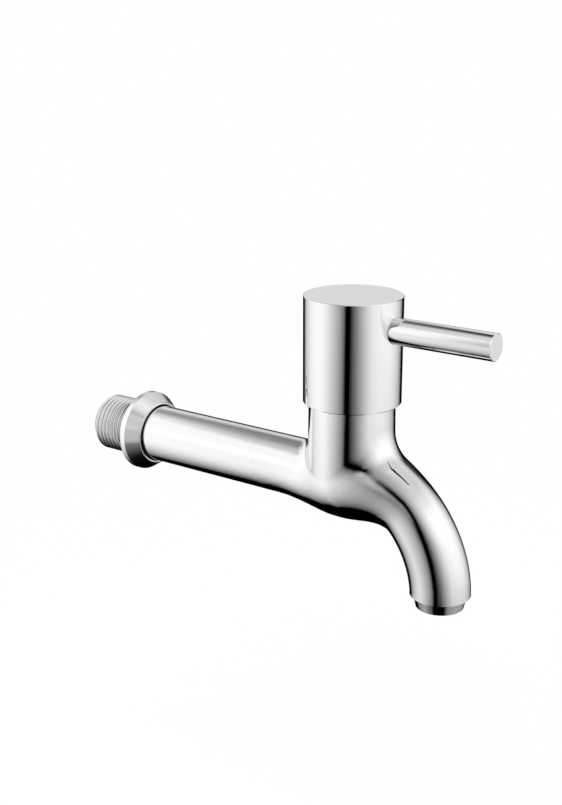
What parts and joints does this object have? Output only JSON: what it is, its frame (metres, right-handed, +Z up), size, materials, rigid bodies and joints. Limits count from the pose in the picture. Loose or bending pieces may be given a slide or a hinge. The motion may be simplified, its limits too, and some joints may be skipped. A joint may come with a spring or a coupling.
{
  "type": "wall mounted sink faucet",
  "caption": "Wall mounted bib faucet with a threaded inlet, slip-on wall flange, curved spout and a quarter-turn pin lever handle.",
  "frame": {"origin": "on the inlet axis in the wall plane, which is the back face of the wall flange", "axes": "+Y along the inlet axis into the wall, -Y towards the spout, +Z up along the valve axis"},
  "size_m": [0.0326, 0.1624, 0.1003],
  "materials": {
    "chrome_body": "polished chrome plate on cast brass",
    "chrome_flange": "polished chrome plate on turned brass",
    "chrome_handle": "polished chrome plate on brass",
    "chrome_nozzle": "polished chrome plate on turned brass",
    "brass": "machined",
    "steel": "stainless",
    "rubber": "matte",
    "nylon": "moulded nylon",
    "acetal": "moulded acetal",
    "ceramic": "lapped alumina ceramic"
  },
  "bodies": {
    "root": {"tap_body": "chrome_body", "headwork_body": "brass", "headwork_seal": "rubber", "guide_ring": "nylon", "seat_seal": "rubber", "fixed_disc": "ceramic", "thrust_washer": "nylon", "aerator_ring": "chrome_nozzle", "aerator_washer": "rubber", "flow_straightener": "acetal", "aerator_screens": "steel"},
    "handle": {"handle_cap": "chrome_handle", "handle_lever": "chrome_handle", "spline_insert": "brass", "set_screw": "steel", "stem": "brass", "stem_seals": "rubber", "stop_ring": "steel", "circlip": "steel", "moving_disc": "ceramic"},
    "flange": {"wall_flange": "chrome_flange", "flange_grip_ring": "rubber"}
  },
  "joints": [
    {"name": "handle_turn", "type": "hinge", "parent": "root", "child": "handle", "pos_m": [0, -0.0927, 0], "axis": [0, 0, 1], "range_deg": [0, 90]},
    {"name": "flange_slide", "type": "slide", "parent": "root", "child": "flange", "axis": [0, -1, 0], "range_m": [0, 0.045]}
  ]
}
